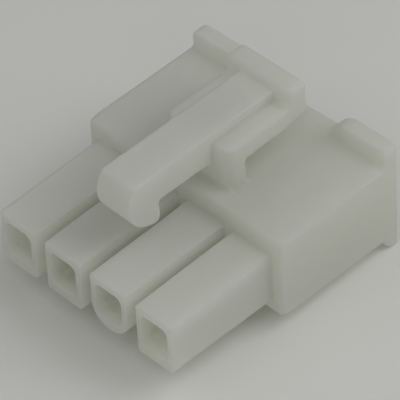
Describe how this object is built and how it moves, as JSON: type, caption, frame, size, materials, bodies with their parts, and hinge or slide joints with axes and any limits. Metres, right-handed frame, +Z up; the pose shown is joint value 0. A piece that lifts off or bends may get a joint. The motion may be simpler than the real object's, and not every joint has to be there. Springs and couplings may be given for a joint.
{
  "type": "wire to board connector housing",
  "caption": "Single-row nylon receptacle housing for crimp terminals, with keyed mating silos, a rocking latch lever with thumb pad and a flared wire-entry flange.",
  "frame": {"origin": "centred under the part, in the plane of its lowest face, the underside of the rear lip", "axes": "+X along the row of circuits, +Y from the mating tips to the wire entry, +Z up through the latch lever"},
  "size_m": [0.0178, 0.02, 0.0125],
  "materials": {
    "nylon": "natural milky nylon, slightly translucent, satin moulded surface"
  },
  "bodies": {
    "root": {"housing": "nylon"}
  },
  "joints": []
}
